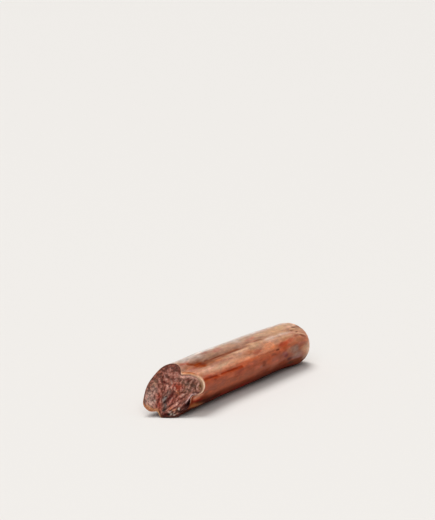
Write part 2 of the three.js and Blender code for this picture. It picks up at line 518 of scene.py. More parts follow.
# tone, station, angle, half length in mm, half width in degrees, strength
SKIN_PATCHES = (
    # the upper back, from the cut to the closed end; the palest patches along its top edge, near 96 to
    # 103 degrees, are a painted sheen
    ("tan", 18, 97, 10, 7, 1), ("rose", 25, 91, 11, 4.5, 0.9), ("painted_sheen", 80, 103, 24, 6, 0.7),
    ("painted_sheen", 238, 97, 20, 7, 0.85), ("painted_sheen", 254, 96, 10, 8, 0.7), ("ash", 38, 98, 16, 6, 0.6),
    ("stone", 53, 89, 10, 8, 0.8), ("rose", 68, 90, 9, 6, 0.75), ("rose", 90, 82, 12, 6, 0.8),
    ("tan", 75, 78, 10, 5, 0.6), ("sand", 107, 92, 10, 8, 0.5), ("tan", 121, 84, 10, 9, 0.5),
    ("ash", 137, 86, 11, 9, 0.6), ("sand", 146, 84, 9, 8, 0.5), ("tan", 158, 92, 10, 6, 0.5),
    ("rose", 156, 75, 9, 5, 0.7), ("painted_sheen", 190, 100, 16, 5, 0.5), ("sand", 177, 79, 8, 6, 0.8),
    ("sand", 192, 70, 14, 10, 0.6), ("bone", 194, 92, 14, 6, 0.6), ("gold", 215, 73, 17, 16, 0.85),
    ("straw", 230, 79, 9, 11, 0.85), ("gold", 207, 60, 13, 6, 0.9), ("bone", 212, 54, 12, 3.5, 0.5),
    ("shell", 249, 70, 11, 5.5, 0.85), ("sand", 249, 80, 10, 6, 0.8), ("bone", 248, 92, 18, 8, 0.7),
    ("shell", 262, 80, 8, 10, 1), ("peach", 254, 69, 6, 3, 0.9),
    # the ridge between the folds; the pale blush, bone and cream patches near 41 to 54 degrees are its own
    # colour with a painted highlight along the crest
    ("rose", 27, 62, 9, 17, 0.8), ("loam", 14, 74, 5, 7, 0.8), ("sand", 19, 64, 3, 5, 0.5),
    ("salmon", 18, 85, 6, 4, 0.6), ("terra", 28, 80, 7, 8, 1), ("ember", 42, 68, 11, 12, 1.3),
    ("ember", 43, 56, 9, 6, 1.1), ("umber", 48, 64, 7, 8, 1), ("cocoa", 57, 63, 8, 8, 0.8),
    ("loam", 66, 54, 14, 7, 1.1), ("loam", 95, 56, 18, 4.5, 1.1), ("loam", 113, 57, 12, 4, 0.7),
    ("terra", 74, 49, 10, 4, 1.1), ("loam", 59, 50, 9, 3.5, 0.6), ("clay", 54, 26, 7, 3, 0.6),
    ("tan", 86, 49, 9, 3.5, 0.8), ("blush", 47, 41, 15, 4, 0.9), ("terra", 24, 31, 8, 9, 0.8),
    ("dawn", 35, 33, 9, 4.5, 0.8), ("rose", 24, 27, 7, 3.5, 0.8), ("clay", 34, 26, 12, 4.5, 1),
    ("cream", 70, 33.5, 19, 3.2, 0.95), ("cream", 117, 51, 17, 3.2, 0.6), ("blush", 113, 44, 9, 3, 0.7),
    ("apricot", 108, 29, 16, 4, 0.8), ("terra", 131, 40, 15, 6.5, 0.9), ("orange", 138, 20, 12, 3, 0.6),
    ("apricot", 128, 28, 9, 3.5, 0.7), ("sand", 152, 50, 9, 4.5, 0.8), ("gold", 152, 58, 12, 5, 0.9),
    ("gold", 143, 45, 8, 4, 0.7), ("dawn", 158, 63, 8, 4, 0.8), ("tan", 171, 62, 8, 4, 0.8),
    ("orange", 166, 32, 6, 4, 0.6), ("clay", 149, 33, 12, 6, 0.95), ("apricot", 176, 39, 12, 6, 1),
    ("orange", 184, 29, 11, 5.5, 1), ("bone", 188, 52, 14, 5, 0.85), ("blush", 186, 45, 10, 3, 0.7),
    ("bone", 217, 51, 14, 4, 0.6), ("sand", 214, 43, 13, 3, 0.6), ("ginger", 214, 38, 14, 3.5, 0.85),
    ("flame", 204, 27, 13, 8, 1.2), ("flame", 222, 29, 14, 5.5, 0.8), ("rust", 207, 17, 10, 6, 0.8),
    ("coral", 199, 12, 6, 6, 0.6), ("coral", 215, 14, 6, 4, 0.7), ("salmon", 234, 47, 7, 2.5, 0.7),
    ("rose", 237, 54, 5, 4, 0.7), ("bark", 247, 46, 3.5, 2, 0.8), ("clay", 240, 36, 9, 5, 0.7),
    ("terra", 244, 25, 12, 8, 1), ("clay", 259, 34, 8, 7, 0.7), ("gold", 246, 59, 8, 5, 0.8),
    # the side
    ("rust", 25, 15, 6, 8, 0.6), ("brick", 38, 14, 6, 4, 0.7), ("umber", 49, 11, 5, 3, 0.5),
    ("coral", 82, 5, 10, 6, 0.75), ("brick", 102, 5, 10, 9, 0.7), ("coral", 112, 16, 9, 5, 0.8),
    ("clay", 133, 13, 15, 5, 0.7), ("clay", 140, -2, 10, 5, 0.7), ("rose", 150, -6, 3, 4, 0.7),
    ("bark", 157, -3, 5, 9, 0.9), ("umber", 160, -20, 15, 7, 0.65), ("rust", 168, -2, 5, 8, 0.6),
    ("clay", 183, -3, 10, 8, 0.8), ("bark", 180, 12, 6, 3.5, 0.6), ("umber", 201, -21, 15, 7, 0.65),
    ("mauve", 204, 3, 7, 4, 0.7), ("fog", 218, 6, 8, 7, 0.7), ("grape", 207, -5, 7, 6, 0.8),
    ("terra", 216, 6, 6, 5, 0.7), ("bark", 214, -10, 6, 5, 0.6), ("fog", 230, 4, 10, 10, 0.9),
    ("fog", 238, -12, 13, 11, 0.85), ("mauve", 239, -20, 10, 5, 0.6), ("plum", 221, -18, 7, 7, 0.9),
    ("moss", 228, -33, 8, 6, 0.8), ("gold", 255, 0, 9, 11, 0.8), ("rose", 246, 14, 10, 5, 0.7),
    # the peach patch at the tip is partly a painted highlight on the rounded end
    ("peach", 271, -6, 13, 24, 0.95), ("cocoa", 242, -31, 11, 5, 0.8), ("tan", 257, -24, 7, 8, 0.8),
    ("cocoa", 253, -42, 9, 8, 0.6),
    # the underside, darkened with painted shade
    ("painted_shade", 38, -49, 15, 9, 0.9), ("painted_shade", 4, -54, 14, 9, 1), ("garnet", 74, -46, 15, 8, 0.5),
    ("moss", 93, -42, 6, 8, 0.4), ("garnet", 121, -48, 20, 9, 0.85), ("painted_shade", 168, -49, 9, 8, 1),
    ("painted_shade", 190, -50, 26, 8, 0.85),
    # the back and below it
    ("rose", 150, 150, 40, 16, 0.5), ("clay", 90, 165, 30, 14, 0.5), ("brick", 200, 172, 34, 18, 0.6),
    ("mauve", 60, -168, 14, 10, 0.5), ("ember", 120, -150, 30, 9, 0.6), ("sand", 245, 150, 14, 20, 0.5),
)


def skin_colour(s, a):
    """The base for the angle, then each patch: e to the minus d cubed, where d is the distance from
    its middle in half sizes. Noise of up to 3 mm moves the places first, so that no edge is a plain
    oval. All angles meet at the tip, so the last 14 mm turn to one colour and no wedges show."""
    p = skin_place(s, a)
    wander = soft_noise(p, (14, 6, 6), 11)
    wander2 = soft_noise(p, (5, 2.4, 2.4), 12)
    near_a = wrap(a) + 2 * soft_noise(p, (16, 5, 5), 13) + 1.2 * soft_noise(p, (5, 2, 2), 14)
    near_s = s + 3 * soft_noise(p, (12, 6, 6), 15)
    colour = ring_mix(wrap(near_a), SKIN_ROUND, 1)
    for tone, at_s, at_a, long, wide, strength in SKIN_PATCHES:
        d = np.hypot((near_s - at_s) / long, wrap(near_a - at_a) / wide)
        colour = stain(colour, strength * np.exp(-d ** 3) * (1 + 0.25 * wander2), SKIN_TONES[tone])
    colour = stain(colour, smooth(s, 271, 284), SKIN_TONES["gold"])
    streaks = 0.6 * soft_noise(p, (16, 1.7, 1.7), 16) + 0.5 * soft_noise(p, (6, 1.1, 1.1), 17)
    mottle = soft_noise(p, (4.5, 2.6, 2.6), 19)
    return colour * (1 + 0.2 * streaks + 0.08 * wander + 0.1 * mottle)[..., None]


# %% Paint thin lines and spots
# tone, half width in mm at the start and at the end, strength, path through (station, angle)
SKIN_LINES = (
    # the valley behind the shoulder, and its crease: their own brown, with painted shade darkening the
    # fold
    ("clay", 0.8, 1.2, 0.65, ((16, 92.5), (24, 90.5), (31, 87))),
    ("ember", 1.2, 2.6, 0.9, ((29, 87), (34, 83), (40, 77))),
    ("umber", 1.6, 1.6, 0.45, ((38, 76), (44, 70), (51, 61))),
    ("cocoa", 2.4, 2.3, 0.9, ((55, 66), (64, 64.5), (78, 64), (90, 62), (104, 61), (120, 60))),
    ("bark", 1, 0.9, 0.7, ((68, 66), (80, 64), (98, 62), (110, 61))),
    ("bark", 1, 1, 0.6, ((58, 71), (63, 70.5))),
    ("bark", 1.8, 1.6, 0.4, ((118, 59), (130, 57.5), (142, 56))),
    ("rose", 1.1, 1.1, 0.6, ((52, 45), (66, 45.5), (80, 44), (96, 42))),
    # the fold along the front of the shoulder; the darkest lines in it are partly painted shade in the
    # crease
    ("ochre", 1.4, 1.4, 0.8, ((23, 20.5), (28, 19.5), (32, 19))),
    ("cinder", 1.6, 1.9, 1.2, ((24, 21.5), (33, 20.5), (42, 19.5), (50, 17.5), (57, 16.5))),
    ("umber", 0.7, 0.8, 0.6, ((27, 22), (36, 20), (46, 19), (56, 16))),
    ("coral", 1.8, 1.8, 0.9, ((57, 19), (66, 19.5), (80, 20))),
    ("cinder", 1.3, 1.9, 1.2, ((64, 16.6), (76, 16.2), (88, 15.4), (100, 15), (108, 14.6))),
    ("umber", 0.6, 0.8, 0.55, ((78, 16.5), (88, 15.4), (99, 15))),
    ("coral", 1.7, 1.5, 0.85, ((98, 20.5), (120, 21), (144, 20))),
    ("brick", 0.9, 0.8, 0.6, ((146, 22.5), (162, 21.5), (176, 21), (190, 19.5))),
    ("painted_shade", 1.1, 0.7, 0.9, ((187, 19.4), (193, 19.2))),
    # short marks on the back
    ("clay", 1, 1.2, 0.55, ((158, 73), (163, 76), (168, 79))),
    ("bark", 1, 0.8, 0.75, ((158, 63), (164, 61.5), (172, 59))),
    ("rust", 2.4, 2.4, 0.35, ((40, -16), (70, -19), (110, -21), (140, -19))),
    # the drawn-in folds of the closed end: the cream line is a painted highlight on a fold's crest, and
    # the dark bark lines are partly painted shade in the creases
    ("bark", 0.8, 1, 0.75, ((248, 64), (255, 64), (265, 62))),
    ("blush", 1.2, 0.9, 0.8, ((229, 48), (238, 48.5), (244, 46))),
    ("cream", 0.9, 1, 0.85, ((241, 45), (248, 41), (256, 36), (264, 32))),
    ("bark", 0.7, 0.7, 0.7, ((243, 41), (250, 36), (258, 30), (263, 26))),
    # the loose flap under the hollow: the shell line and part of the salmon one are a painted highlight
    # on its curl, and the near-black lines along and under it are painted shade
    ("painted_shade", 2.4, 3, 0.85, ((18, -33), (30, -36), (46, -39), (66, -40))),
    ("ochre", 3, 2.6, 0.95, ((3, -38), (12, -40), (22, -44), (34, -50))),
    ("salmon", 2.4, 2.2, 0.95, ((10, -25), (13, -23), (18, -19), (25, -14))),
    ("shell", 0.8, 0.8, 0.6, ((12, -22), (16, -19), (20, -15))),
    ("coral", 1.2, 1.2, 0.7, ((11, -27), (16, -25.5), (21, -23))),
    ("garnet", 1.2, 1.2, 0.95, ((9, -30), (16, -30), (26, -29))),
    ("umber", 3.8, 3, 1.3, ((3, -31), (7, -28), (8, -18))),
    ("painted_shade", 2.8, 2.8, 0.95, ((-8, -50), (4, -53), (20, -58))),
)


def skin_lines(colour, s, a):
    """Each line is a bell in the distance to its path, in mm on the skin, roughened by noise, and its
    width changes evenly."""
    rough = soft_noise(skin_place(s, a), (4, 2, 2), 18)
    for tone, start, end, strength, path in SKIN_LINES:
        scaled = [(u, np.radians(v) * RADIUS) for u, v in path]
        d, along = near_path(s, off_line(a, 0), scaled)
        width = start + (end - start) * along
        weight = strength * bump(d + 0.4 * rough, width) * (1 + 0.2 * rough)
        colour = stain(colour, weight, SKIN_TONES[tone])
    return colour


# colour of the cut edge round the rim: angle, then four tones from its outer to its inner side. The
# pale outer tones from -22 to 22 degrees are a painted highlight on the curled edge, and the
# near-black stops from -96 to -34 degrees are painted shade on the lower rim.
LIP_ROUND = (
    (-180, "#84584A", "#84584A", "#7A5044", "#7A5044"), (-163, "#84583E", "#8A5A40", "#8A5C48", "#7A4E3C"),
    (-148, "#9A5A30", "#B4703E", "#B87850", "#A8705A"), (-124, "#9A5630", "#B06A3C", "#A86C48", "#9A5E40"),
    (-114, "#8A4A2C", "#C8A078", "#C09468", "#A07050"), (-104, "#7A3A20", "#D0AC84", "#B88C60", "#7A3C2C"),
    (-96, "#561808", "#5E200E", "#5E200E", "#561808"), (-60, "#42100A", "#4A140C", "#4A1410", "#4A1812"),
    (-34, "#6A3418", "#5E241A", "#501C18", "#4A1820"), (-22, "#D28C68", "#D89A80", "#D0A090", "#A8787A"),
    (-10, "#ECC4AC", "#C09684", "#96705E", "#86604E"), (0, "#FCD8BC", "#BC927A", "#8C6852", "#765440"),
    (8, "#FFE6CA", "#C8A084", "#967258", "#7A5A44"), (22, "#E8BE9E", "#ECC8A8", "#B48E72", "#A07C66"),
    (35, "#C98C70", "#DCA888", "#D8AC90", "#B08A76"), (48, "#C47E60", "#A85832", "#E4A070", "#CCA48C"),
    (60, "#BE7656", "#9C4C22", "#ECA270", "#C09078"), (70, "#C07A5C", "#A85A34", "#FFBC8E", "#DCA888"),
    (79, "#C08468", "#B06A48", "#F4B890", "#DCB09C"), (88, "#C09880", "#C8A08C", "#B88C7C", "#9A6C5C"),
    (102, "#B08C7C", "#A87C6C", "#8A5E50", "#7E5244"), (128, "#8A5A48", "#8A5A48", "#7E5244", "#7E5244"),
    (137, "#B8704E", "#C07A54", "#A86C4C", "#9A6048"), (146, "#84584A", "#84584A", "#7A5044", "#7A5044"),
    (180, "#84584A", "#84584A", "#7A5044", "#7A5044"),
)
LIP_TONES_AT = (0.06, 0.26, 0.54, 0.92)


def lip_colour(a, part):
    """Mix round the rim between the stops, and across the edge between its four tones."""
    mixed = ring_mix(a, LIP_ROUND, 1)
    for k in (1, 2, 3):
        w = smooth(part, LIP_TONES_AT[k - 1], LIP_TONES_AT[k])
        mixed = mixed * (1 - w) + ring_mix(a, LIP_ROUND, k + 1) * w
    return mixed


side_tint = skin_lines(skin_colour(side_s, angles), side_s, angles)
# the skin next to the rim takes the cut edge's outer tone, and with it that tone's painted highlight and
# painted shade
near_rim = 0.8 * bump(side_s - rim, 1.1)[..., None]
side_tint = side_tint * (1 - near_rim) + lip_colour(signed, 0) * near_rim
dome_tint = skin_lines(skin_colour(dome_s, angles), dome_s, angles)
edge_tint = np.stack([lip_colour(signed, part) for part in LIP_PARTS[::-1]])
inner_tone = linear("#6E3A2C")
inner_tint = np.broadcast_to(inner_tone, (len(floor_rows + wall_rows), COLUMNS, 3))
tints = np.concatenate([inner_tint, edge_tint, side_tint, dome_tint]).reshape(-1, 3)
tints = np.concatenate([tints, [inner_tone], [dome_tint[-1].mean(axis=0)]])
paint(casing, "skin_tint", tints)
print("skin painted with", len(SKIN_PATCHES), "patches and", len(SKIN_LINES), "lines")

# %% [markdown]
# ## The meat in the cut
#
# The cut crosses long muscles at a slant, so the fibres fan out from the notch below, with pale fat
# between them. A split runs up from the notch beside a grey pit, and at the lower right a fatty edge
# stands over a hollow, darkened with painted shade. The face is a disc of rings, and its outer ring
# follows the casing.

# %% Where the face's features lie
# paths in mm from the middle of the cut, right and up
SPLIT = ((-10.6, -2.5), (-11.1, -8.3), (-10.2, -13), (-8.4, -17.7), (-5.5, -21.4))
PIT = ((-3.6, -2.8), (-6, -6.2), (-7.1, -9.1), (-5, -12.9), (-4.2, -17.6))
WHITE_EDGE = ((21.5, -3), (18.6, -3.2), (17, -5.8), (16.3, -8.3), (15, -11.6))
FAN_MIDDLE = (-6, -27)
MEAT_TONES = {
    "base": "#864C3E", "sinew": "#DCB4B0", "hollow": "#36100E", "under": "#300602", "rim": "#7E4E3E",
    "fat": "#D8A494", "wax": "#B98679", "pale": "#B2968A", "rind": "#C08050", "slate": "#6C5C56",
    "frost": "#98908C", "ivory": "#D4C4B8", "beige": "#A88068", "orange": "#B4623C", "pink": "#A4564E",
    "clot": "#520400", "lean": "#662E24", "dark": "#561808", "red": "#A0361E", "brown": "#703A28",
    "olive": "#664A38", "moss": "#5E3E14", "plum": "#4A1C22", "char": "#200E0C", "earth": "#44261A",
}
# large areas of the cut, under the marbling
# tone, right, up, half length, half width, turn from upright in degrees (+ leans right), strength
MEAT_ZONES = (
    ("pale", -22, -7.5, 9, 4, -6, 0.9), ("pale", -17.6, -13, 4, 3.6, 0, 0.7),
    ("pale", -18.6, 0.5, 7, 3, -14, 0.45), ("brown", -23.4, 5.5, 6.5, 2, -12, 0.75),
    ("beige", -19.4, 6.6, 3.4, 1.9, 0, 0.75), ("brown", -17.5, 15, 7, 3.6, 34, 0.6),
    ("lean", -13.2, 19, 3.6, 3, 40, 0.75), ("lean", -4.4, 22, 3, 1.8, -10, 0.85),
    ("dark", 0.5, 17.8, 2.8, 1.1, -14, 0.85), ("olive", 12, 4.5, 9, 6.5, 0, 0.8),
    ("olive", 6, 7.5, 3, 3, 0, 0.6), ("olive", 20, 5, 6, 4, 0, 0.6), ("red", 2.6, 3.4, 5.4, 3, 100, 1),
    ("red", -11.8, -5.2, 3.4, 1.9, -8, 0.75), ("red", -9.4, -13.2, 3.6, 1.9, -12, 0.85),
    ("red", -8.2, -18.6, 2.2, 2, 0, 0.7), ("slate", -6, -7.4, 3.8, 2.3, 12, 1),
    ("slate", -3.8, -14.6, 2.8, 2.3, 0, 0.9), ("slate", -3.9, -1.8, 2.4, 1.7, 20, 0.7),
    ("clot", -1.7, -6.6, 4.4, 2, 26, 1), ("dark", 1, -3.4, 2, 1.1, 10, 0.7),
    ("pink", 0.4, -10.6, 2.8, 1.9, 30, 0.75), ("orange", 2.8, -16.8, 3.4, 1.2, 60, 0.85),
    ("red", 6, -9, 5, 4, 30, 0.35), ("earth", 6, -21.8, 2.8, 5, 0, 0.9),
    # the plum zone at the lower right darkens the hollow: painted shade
    ("clot", -2, -23, 2, 3, 0, 0.85), ("plum", 17.3, -12.2, 4.2, 2.3, 8, 1),
    ("dark", 13.2, -18.6, 2.4, 4.2, -40, 0.9), ("lean", 10.8, 10.6, 2, 2.4, 0, 0.85),
    ("lean", 17.1, 9.2, 2.5, 1.6, -14, 0.85), ("moss", 23.2, 4.8, 2.4, 1.3, -10, 0.9),
    ("char", -3.3, -18.6, 1.9, 2.4, 0, 1), ("lean", 9.4, -7.4, 1.4, 3, 0, 0.6),
)
# small marks over it, in the same numbers
FAT_FLECKS = (
    ("wax", -23.3, -5.8, 3, 1, -6, 0.8), ("fat", -17.8, -3, 2, 0.9, -20, 0.8),
    ("fat", -17.6, -13.6, 1.5, 1.2, 30, 0.9), ("wax", -21.5, -11.2, 1.8, 0.7, -24, 0.8),
    ("pale", -14.1, -10.3, 1.7, 0.9, -10, 0.8), ("wax", -19.8, -7.8, 2.2, 0.8, -12, 0.6),
    ("wax", -15.2, -0.5, 2.4, 0.7, -18, 0.5), ("wax", -16.2, 9.4, 2.2, 0.8, -24, 0.6),
    ("wax", -12.1, 13.4, 2.4, 0.6, -24, 0.7), ("wax", -10, 10.3, 2, 0.8, -10, 0.8),
    ("wax", -8.8, 20.6, 2, 0.8, -16, 0.7), ("wax", -9.8, 16.8, 2.4, 0.7, -14, 0.6),
    ("wax", -3.1, 16.6, 1.6, 0.8, -24, 0.8), ("wax", -6.2, 14, 2.2, 0.6, -10, 0.6),
    ("fat", -4.2, 7.6, 1.9, 0.9, -26, 0.9), ("wax", -0.8, 10, 2.2, 1.2, -10, 0.6),
    ("fat", -6.9, 3.8, 2.4, 0.8, -30, 0.8), ("wax", -5.8, 1.6, 1.4, 0.8, -20, 0.8),
    ("fat", -2.6, 2.6, 1.6, 0.6, -36, 0.8), ("fat", 0.5, 2, 1.7, 0.6, -30, 0.9),
    ("frost", -6.3, -7.6, 2, 1.2, 10, 0.7), ("frost", -3.6, -14.6, 1.6, 0.8, -20, 0.45),
    ("wax", -3.8, -2, 1.3, 0.8, 20, 0.6), ("pink", -12.4, -7.7, 1.2, 0.7, -30, 0.8),
    ("pink", -9.8, -14.9, 1.3, 0.6, -30, 0.9), ("fat", -8.9, -11.6, 1, 0.5, 0, 0.5),
    ("orange", 4.4, -1.2, 2.9, 0.9, -40, 0.9), ("fat", 3.4, -0.4, 1.4, 0.5, -40, 0.6),
    ("fat", 9.6, -3.8, 2.4, 0.9, 48, 0.9), ("wax", 8.5, 1.4, 1.7, 0.7, -14, 0.7),
    ("wax", 9, 8.2, 1.8, 0.6, -24, 0.7), ("fat", 6.3, -13.2, 3, 1.2, 38, 1),
    ("wax", 0, -8.4, 1.8, 0.6, 26, 0.7), ("wax", 5.3, -9.6, 2, 0.5, 34, 0.8),
    ("wax", 12, -13.6, 2.6, 0.7, 30, 0.8), ("wax", 8.2, -10.2, 1.8, 0.5, 36, 0.7),
    ("fat", 5.2, 13.6, 4, 1.5, 95, 1), ("fat", 12.2, 13, 4, 1.1, 104, 0.85),
    ("fat", 19, 11.2, 3.4, 1.1, 124, 0.75), ("wax", 15.3, 11, 1.8, 0.8, -20, 0.8),
    ("wax", 13.4, 4.4, 2, 0.8, -16, 0.6), ("wax", 11.7, 2.2, 1.6, 0.7, 10, 0.6),
    ("wax", 17.4, 1.6, 2.2, 1.1, 10, 0.8), ("fat", 21.3, 2.2, 1.5, 0.7, -30, 0.9),
    ("wax", 21.4, 7.4, 2, 0.8, 16, 0.7), ("wax", 13.4, -0.4, 1.1, 0.7, 10, 0.8),
    ("fat", 21.4, -2.5, 1.2, 0.6, 84, 0.9), ("ivory", 10.1, -17.5, 1.5, 0.7, -6, 1),
    ("rind", 6.2, -18.4, 2.4, 0.6, 60, 0.8), ("ivory", 3, -20.9, 1.7, 0.6, 40, 0.8),
    ("ivory", 4.2, -22.6, 1.3, 0.5, 60, 0.85), ("ivory", 7.4, -23.2, 1.7, 0.6, 76, 0.95),
    ("fat", 6.9, -20.9, 1.3, 0.5, 30, 0.8), ("wax", 1.2, -20, 1.5, 0.8, 60, 0.8),
    ("beige", 9.4, -21.6, 1.2, 0.6, 40, 0.6), ("rind", -19, -16.2, 5, 1.5, 118, 0.8),
    ("rind", -12.8, -18.4, 4, 1.2, 96, 0.8), ("orange", -18.7, 17.3, 1.1, 0.7, 40, 0.8),
    ("beige", 25.4, 1.2, 4, 0.8, 4, 0.55), ("fat", 24.6, 7.9, 1.4, 0.5, -34, 0.8),
    ("fat", 20.9, 5.4, 1.8, 0.5, 16, 0.8), ("red", 3.4, 3.4, 3.2, 1.9, 100, 0.55),
    ("beige", 21.6, 10.2, 3.6, 1.6, -50, 0.9), ("fat", 23.4, 9.2, 2, 0.6, -40, 0.7),
    ("rind", -7.2, -21.9, 2.4, 0.6, -30, 0.8), ("wax", 14, -16.2, 2.2, 0.6, 34, 0.6),
)
LEAN_SPOTS = (
    ("dark", -13.4, 12.5, 1.1, 0.8, 0, 0.9), ("dark", -12.6, 22.8, 1.2, 3, 20, 0.6),
    ("lean", -3.2, 12.2, 2.6, 0.8, -24, 0.9), ("dark", -8.6, 12.6, 2, 0.6, -20, 0.7),
    ("clot", -11, 7.9, 3.2, 0.8, 113, 0.85), ("clot", -8.7, 1, 1.4, 0.8, -30, 1),
    ("dark", -15.2, 4, 1.6, 0.7, -16, 0.7), ("dark", -18.8, 11.2, 1.4, 0.7, -20, 0.6),
    ("lean", -22.2, -10.2, 1, 0.6, -20, 0.8), ("dark", -16.4, -5.4, 1.2, 0.7, -10, 0.7),
    ("lean", -19.2, -1.2, 1.2, 0.6, -16, 0.7), ("lean", -20, -13.6, 1.2, 0.6, -20, 0.6),
    ("char", -5.6, -5.1, 1, 0.7, 10, 0.9), ("char", -4.9, -10.5, 1.4, 1.3, 60, 0.9),
    ("char", -3, -12.6, 1.2, 0.5, -30, 0.7), ("clot", -10.8, -9.6, 1.8, 0.7, -16, 0.8),
    ("clot", -10.8, -12.8, 1.8, 0.7, -10, 0.7), ("dark", 4, -5.8, 2.2, 0.7, 20, 0.7),
    ("clot", 3, -12.4, 2.6, 0.6, 36, 0.9), ("clot", 8.7, -12.2, 2.2, 0.7, 34, 0.85),
    ("clot", 5.8, -16.4, 2.2, 0.6, 50, 0.9), ("earth", 8.8, -18.2, 1.2, 0.7, 0, 0.95),
    ("earth", 11.5, -18, 1.8, 0.7, 20, 0.9), ("clot", 9.8, -8, 1.4, 0.6, 60, 0.7),
    ("dark", 10, -1.7, 3.8, 0.6, 94, 0.85), ("clot", 7.6, 3, 1, 0.7, -20, 0.9),
    ("dark", 12, 8.6, 1.2, 1.3, 0, 0.8), ("dark", 9.8, 11.4, 0.9, 1.4, 0, 0.7),
    ("dark", 19.7, 3, 1.6, 0.7, 10, 0.8), ("moss", 23.1, 4.7, 2.3, 0.9, -8, 0.8),
    # the plum spot at the right rim is a painted shadow line under the shoulder
    ("plum", 22.6, -1.4, 0.6, 2.4, 0, 0.95), ("dark", 15.6, 5.4, 1.8, 0.6, 10, 0.5),
    ("dark", 14.6, -4.4, 1.8, 0.7, 20, 0.6), ("earth", 5.2, -20.8, 0.9, 0.7, 0, 0.8),
    ("earth", 5.8, -24, 0.8, 1.4, 0, 0.8), ("clot", -0.6, -23, 1, 1.6, 0, 0.9),
    ("clot", 14.4, -14.6, 2.2, 0.7, 30, 0.7), ("dark", 1.2, -14.6, 2.2, 0.6, 30, 0.7),
    ("dark", 6.4, 0.4, 1.4, 0.6, -20, 0.6), ("clot", -0.6, -4.8, 2.6, 1.4, 26, 1),
    ("clot", -2.6, -8.2, 2.6, 1.2, 20, 0.9), ("char", 1.6, -22.8, 0.9, 1.6, 0, 0.95),
    ("char", 8.6, -24.2, 0.7, 1.8, 0, 0.9), ("char", 10.8, -19.8, 0.8, 1.6, 0, 0.9),
    ("lean", 12.6, -14.4, 2.2, 0.8, 38, 0.8), ("char", 3.2, -19.4, 0.7, 1.3, 20, 0.8),
    ("char", -3.4, -18.6, 1, 1.3, 0, 0.8), ("clot", -1, -20.6, 0.8, 1.8, 0, 0.7),
)
print("the face has", len(FAT_FLECKS), "fat flecks and", len(LEAN_SPOTS), "dark spots")


def fan(x, y):
    """Angle in degrees and distance in mm from the notch below the cut. The fibres run along the
    distance, so noise that is long in it and short in angle looks like muscle."""
    dx, dy = x - FAN_MIDDLE[0], y - FAN_MIDDLE[1]
    return np.degrees(np.arctan2(dy, dx)), np.hypot(dx, dy)


def flat(x, y):
    """Places on the face as points for noise."""
    return np.stack([x, y, 0 * x], axis=-1)


def fibre_noise(x, y, across, along, seed):
    """Noise in fan numbers: cells are `across` mm wide at 25 mm from the middle, `along` mm long."""
    angle, reach = fan(x, y)
    return soft_noise(flat(np.radians(angle) * 25, reach), (across, along, 1), seed)


def fleck(x, y, at_x, at_y, long, wide, turn):
    """A bell that is longer than it is wide, and turned from upright."""
    lean = math.radians(turn)
    along = (x - at_x) * math.sin(lean) + (y - at_y) * math.cos(lean)
    across = (x - at_x) * math.cos(lean) - (y - at_y) * math.sin(lean)
    return np.exp(-((along / long) ** 2) - (across / wide) ** 2)


def around(x, y):
    """Angle round the bar's middle line and distance from it, for a place on the face."""
    return np.degrees(np.arctan2(y, x + CUT_SHIFT)), np.hypot(x + CUT_SHIFT, y)


def meat_relief(x, y):
    """Millimetres out of the cut: slow waves, the pit and split, the fatty edge, the groove outside
    it and the dark hollow, then raised fat, sunken dark spots and fibres."""
    h = 0.5 * np.sin(x / 5.1 + 0.6) * np.sin(y / 4.3 + 1.1)
    h = h - 1.5 * bump(near_path(x, y, PIT)[0], 2.3)
    h = h - 0.9 * bump(near_path(x, y, SPLIT)[0], 1.2)
    angle, r = around(x, y)
    band = between(angle, -108, -92, -14, -6)
    h = h + 1.2 * band * bump(r - 21.8, 1.6)
    h = h - 1.1 * band * smooth(angle, -95, -85) * bump(r - 24.3, 1.5)
    h = h - 4 * bump(wrap(angle + 23), 13) * smooth(r, 21.8, 24.5)
    for _, *shape, strength in FAT_FLECKS:
        h = h + 0.25 * strength * fleck(x, y, *shape)
    for _, *shape, strength in LEAN_SPOTS:
        h = h - 0.45 * strength * fleck(x, y, *shape)
    fibres = 0.28 * fibre_noise(x, y, 1.4, 3.2, 21) + 0.22 * fibre_noise(x, y, 0.8, 1.8, 22)
    p = flat(x, y)
    crumbs = 0.22 * soft_noise(p, (0.9, 0.9, 1), 23) + 0.3 * soft_noise(p, (2.2, 2.2, 1), 24)
    return h + fibres + crumbs


# %% The face, ring by ring
FACE_ROWS = 150
meat_edge = 1 - 0.98 * lip
ring_share = np.linspace(0, 1, FACE_ROWS + 1)[1:, None]
face_q = meat_edge[None, :] * ring_share
face_x = face_q * (rim_side - CUT_SHIFT)
face_y = face_q * (rim_up - RADIUS)
sunken = (0.35 + 0.65 * thick_edge(signed)) * (1 - 0.8 * bump(signed - 52, 32))
settle = LIP_DEPTH * smooth(ring_share, 0.2, 0.85) * sunken
face_rise = meat_relief(face_x, face_y) - settle
face_xyz = on_face(face_q, face_rise)
middle_xyz = face_xyz[0].mean(axis=0)
PLUG_DEPTHS = (6.2, 6.6, 6.8)
plug_rows = [behind_face(meat_edge, depth) for depth in PLUG_DEPTHS[:2]]
plug_back = behind_face(0 * lip, PLUG_DEPTHS[2])[0]
meat_rows = np.concatenate([face_xyz, np.stack(plug_rows)])
meat = build_piece("cut_meat", meat_rows, middle_xyz, plug_back, True)
print("meat:", len(meat.data.vertices), "vertices,", len(meat.data.polygons), "faces")

# %% Paint the meat


def mark(colour, x, y, rows, gain):
    """Stain with each row's tone: its bell, times its strength and a gain."""
    for tone, *shape, strength in rows:
        colour = stain(colour, gain * strength * fleck(x, y, *shape), MEAT_TONES[tone])
    return colour


